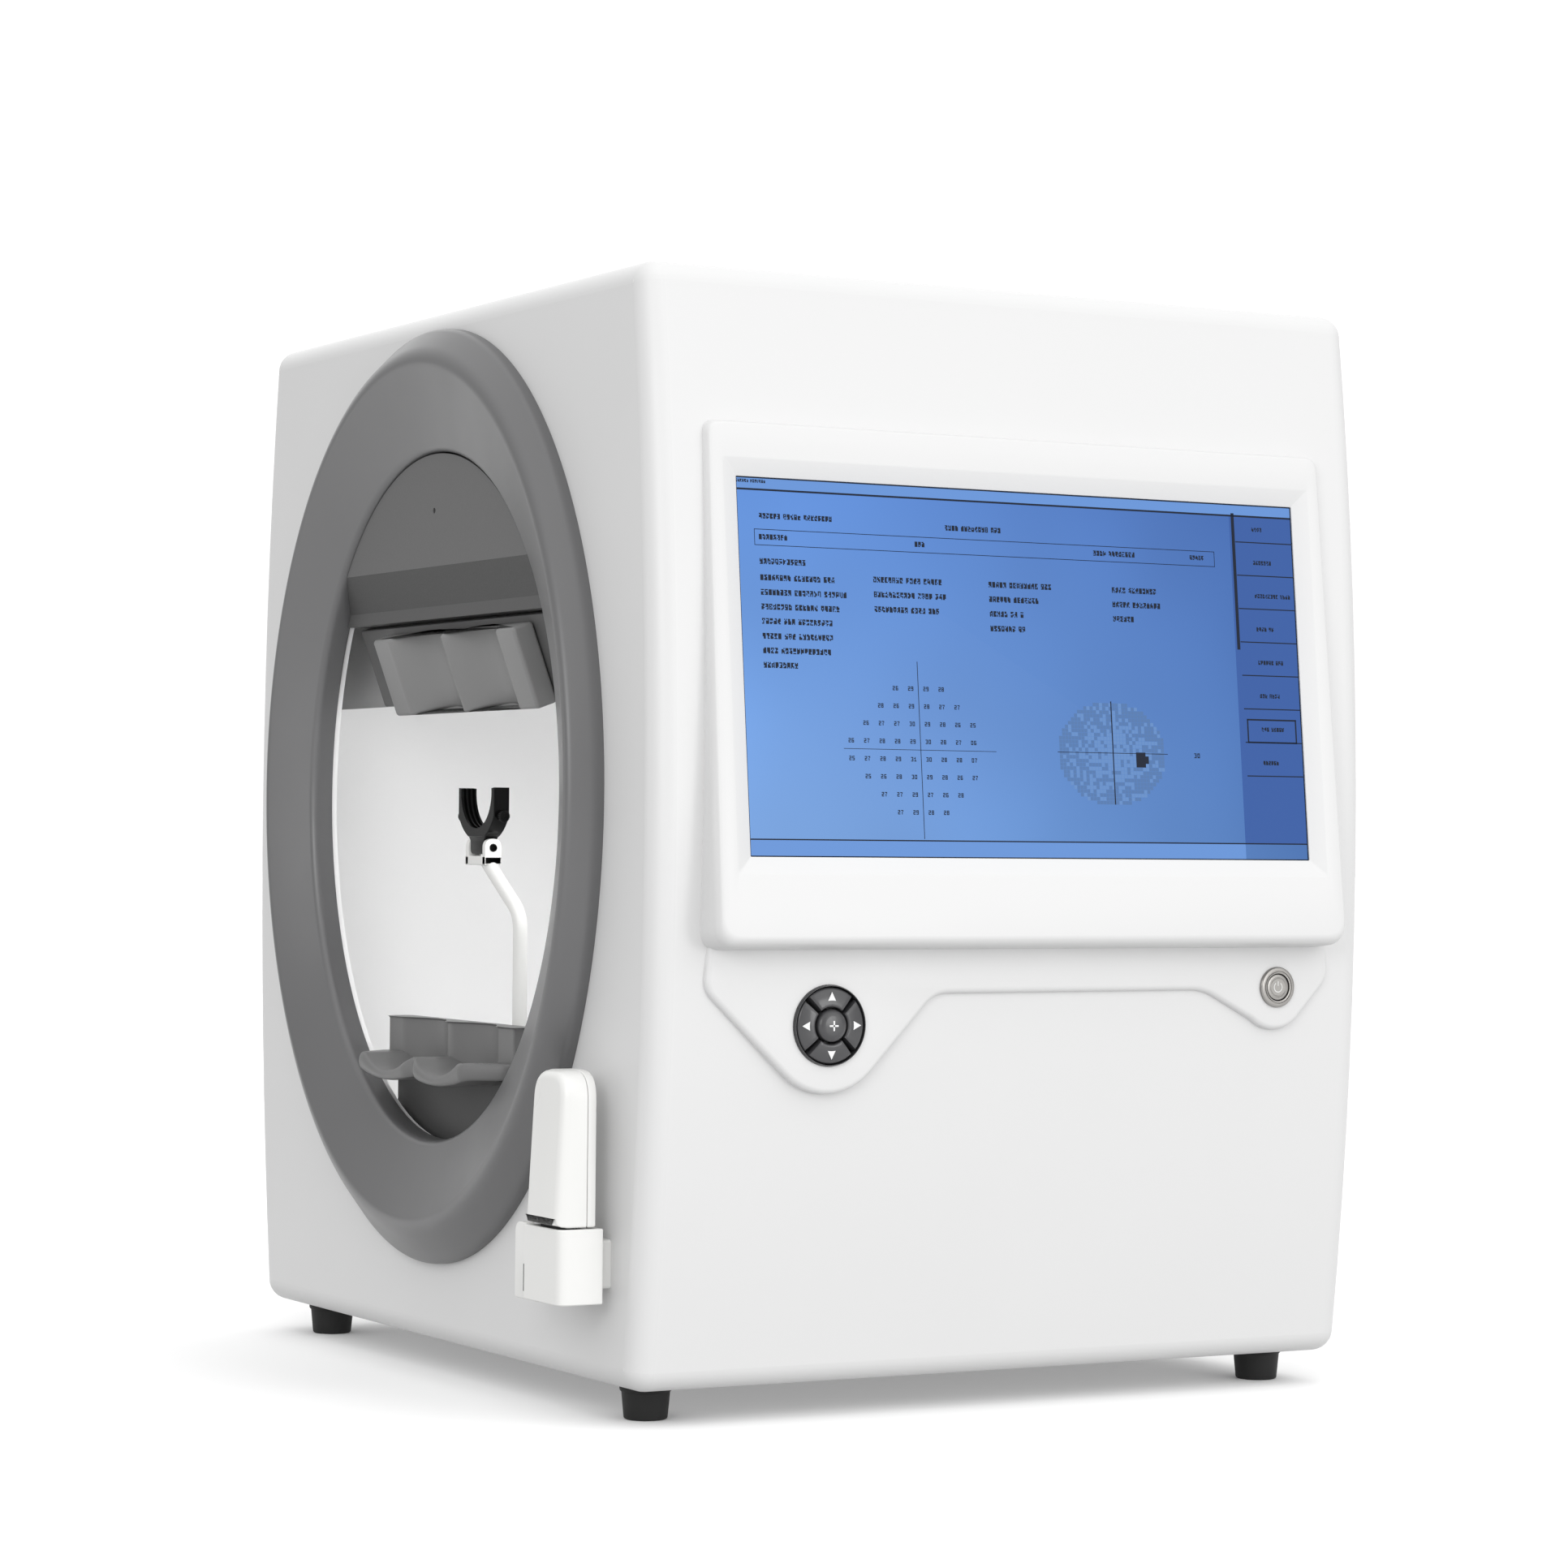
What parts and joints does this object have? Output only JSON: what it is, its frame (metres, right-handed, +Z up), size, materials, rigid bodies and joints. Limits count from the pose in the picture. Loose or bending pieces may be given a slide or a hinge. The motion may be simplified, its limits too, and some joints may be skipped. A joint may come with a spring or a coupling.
{
  "type": "visual field perimeter",
  "caption": "Automated perimeter for eye tests: barrel-sided cabinet with an oval patient opening, white bowl, forehead and chin rests, lens arm, side screen, keypad and response handset.",
  "frame": {"origin": "middle of the footprint, on the surface that the feet stand on", "axes": "+Z up, -Y towards the patient's opening, +X towards the operator's screen"},
  "size_m": [0.5533, 0.4754, 0.59],
  "materials": {
    "white_cabinet": "satin white textured moulding",
    "white_handset": "smooth white moulding",
    "grey_bezel": "satin mid-grey moulding",
    "bowl_paint": "matt white diffusing paint",
    "dark_grey_plastic": "matt dark grey moulding",
    "light_grey_panel": "matt light grey moulding",
    "grey_silicone": "soft satin grey",
    "chin_grey": "satin grey moulding",
    "black_plastic": "satin black moulding",
    "key_rubber": "satin charcoal key rubber",
    "white_enamel": "white powder coat",
    "steel": "zinc-plated sheet and ground rods",
    "black_oxide_steel": "black oxide",
    "stainless": "turned stainless",
    "machined_aluminium": "milled, clear anodised",
    "screen_glass": "anti-glare cover glass",
    "lcd": "lit display",
    "circuit_board": "solder mask green",
    "foot_rubber": "moulded black rubber",
    "motor_black": "black housings",
    "supply_steel": "folded galvanised case"
  },
  "bodies": {
    "root": {"cabinet_shell": "white_cabinet", "service_cover": "white_cabinet", "rear_cover": "white_cabinet", "operator_fascia": "white_cabinet", "control_panel": "white_cabinet", "handset_holder": "white_handset", "opening_ring": "grey_bezel", "bowl": "bowl_paint", "forehead_hood": "dark_grey_plastic", "forehead_bracket": "dark_grey_plastic", "light_baffle": "light_grey_panel", "forehead_pad": "grey_silicone", "keypad_bezel": "black_plastic", "room_light_sensor": "black_plastic", "mains_inlet": "black_plastic", "port_block": "black_plastic", "lens_arm_socket": "white_enamel", "base_plate": "steel", "bowl_cradle": "steel", "display_bracket": "steel", "equipment_stand": "steel", "rear_cover_screws": "steel", "cross_rails": "steel", "power_button_nut": "steel", "power_button_body": "stainless", "rail_blocks": "machined_aluminium", "screen_glass": "screen_glass", "lcd_panel": "lcd", "keypad_board": "circuit_board", "main_board": "circuit_board", "rubber_feet": "foot_rubber", "cross_motor": "motor_black", "fixation_camera": "motor_black", "stimulus_projector": "motor_black", "projector_lens": "motor_black", "fan_frame": "motor_black", "power_supply": "supply_steel"},
    "cross_slide": {"cross_carriage": "machined_aluminium", "lift_rods": "steel", "lift_screw": "steel", "cross_screw": "steel"},
    "chin_lift": {"lift_carriage": "machined_aluminium", "lift_motor": "motor_black", "chin_apron": "dark_grey_plastic", "chin_cup": "chin_grey"},
    "lens_arm": {"lens_arm": "white_enamel", "lens_clevis": "white_enamel", "clevis_pin": "black_oxide_steel"},
    "lens_holder": {"lens_holder": "black_plastic", "holder_screws": "black_oxide_steel"},
    "key_up": {"key_up": "key_rubber"},
    "key_down": {"key_down": "key_rubber"},
    "key_left": {"key_left": "key_rubber"},
    "key_right": {"key_right": "key_rubber"},
    "key_centre": {"key_centre": "key_rubber"},
    "power_cap": {"power_button_cap": "stainless"},
    "handset": {"handset_front_shell": "white_handset", "handset_back_shell": "white_handset"},
    "response_button": {"response_button": "black_plastic"},
    "fan_rotor": {"fan_rotor": "motor_black"}
  },
  "joints": [
    {"name": "chin_cross", "type": "slide", "parent": "root", "child": "cross_slide", "axis": [1, 0, 0], "range_m": [-0.008, 0.008]},
    {"name": "chin_height", "type": "slide", "parent": "cross_slide", "child": "chin_lift", "axis": [0, 0, 1], "range_m": [0, 0.04]},
    {"name": "lens_arm_swing", "type": "hinge", "parent": "root", "child": "lens_arm", "pos_m": [0.03905, -0.17575, 0.136], "axis": [0, 0, 1], "range_deg": [-90, 0]},
    {"name": "lens_holder_tilt", "type": "hinge", "parent": "lens_arm", "child": "lens_holder", "pos_m": [-0.00995, -0.17575, 0.2915], "axis": [1, 0, 0], "range_deg": [-90, 0]},
    {"name": "key_up_press", "type": "slide", "parent": "root", "child": "key_up", "axis": [-1, 0, 0], "range_m": [0, 0.001], "stiffness_N_per_m": 400},
    {"name": "key_down_press", "type": "slide", "parent": "root", "child": "key_down", "axis": [-1, 0, 0], "range_m": [0, 0.001], "stiffness_N_per_m": 400},
    {"name": "key_left_press", "type": "slide", "parent": "root", "child": "key_left", "axis": [-1, 0, 0], "range_m": [0, 0.001], "stiffness_N_per_m": 400},
    {"name": "key_right_press", "type": "slide", "parent": "root", "child": "key_right", "axis": [-1, 0, 0], "range_m": [0, 0.001], "stiffness_N_per_m": 400},
    {"name": "key_centre_press", "type": "slide", "parent": "root", "child": "key_centre", "axis": [-1, 0, 0], "range_m": [0, 0.001], "stiffness_N_per_m": 400},
    {"name": "power_press", "type": "slide", "parent": "root", "child": "power_cap", "axis": [-1, 0, 0], "range_m": [0, 0.0015], "stiffness_N_per_m": 600},
    {"name": "handset_lift", "type": "slide", "parent": "root", "child": "handset", "axis": [0, 0, 1], "range_m": [0, 0.045]},
    {"name": "response_press", "type": "slide", "parent": "handset", "child": "response_button", "axis": [0, 0, 1], "range_m": [0, 0.002], "stiffness_N_per_m": 500},
    {"name": "fan_spin", "type": "hinge", "parent": "root", "child": "fan_rotor", "pos_m": [-0.13495, 0.21925, 0.448], "axis": [0, 1, 0], "continuous": true}
  ]
}
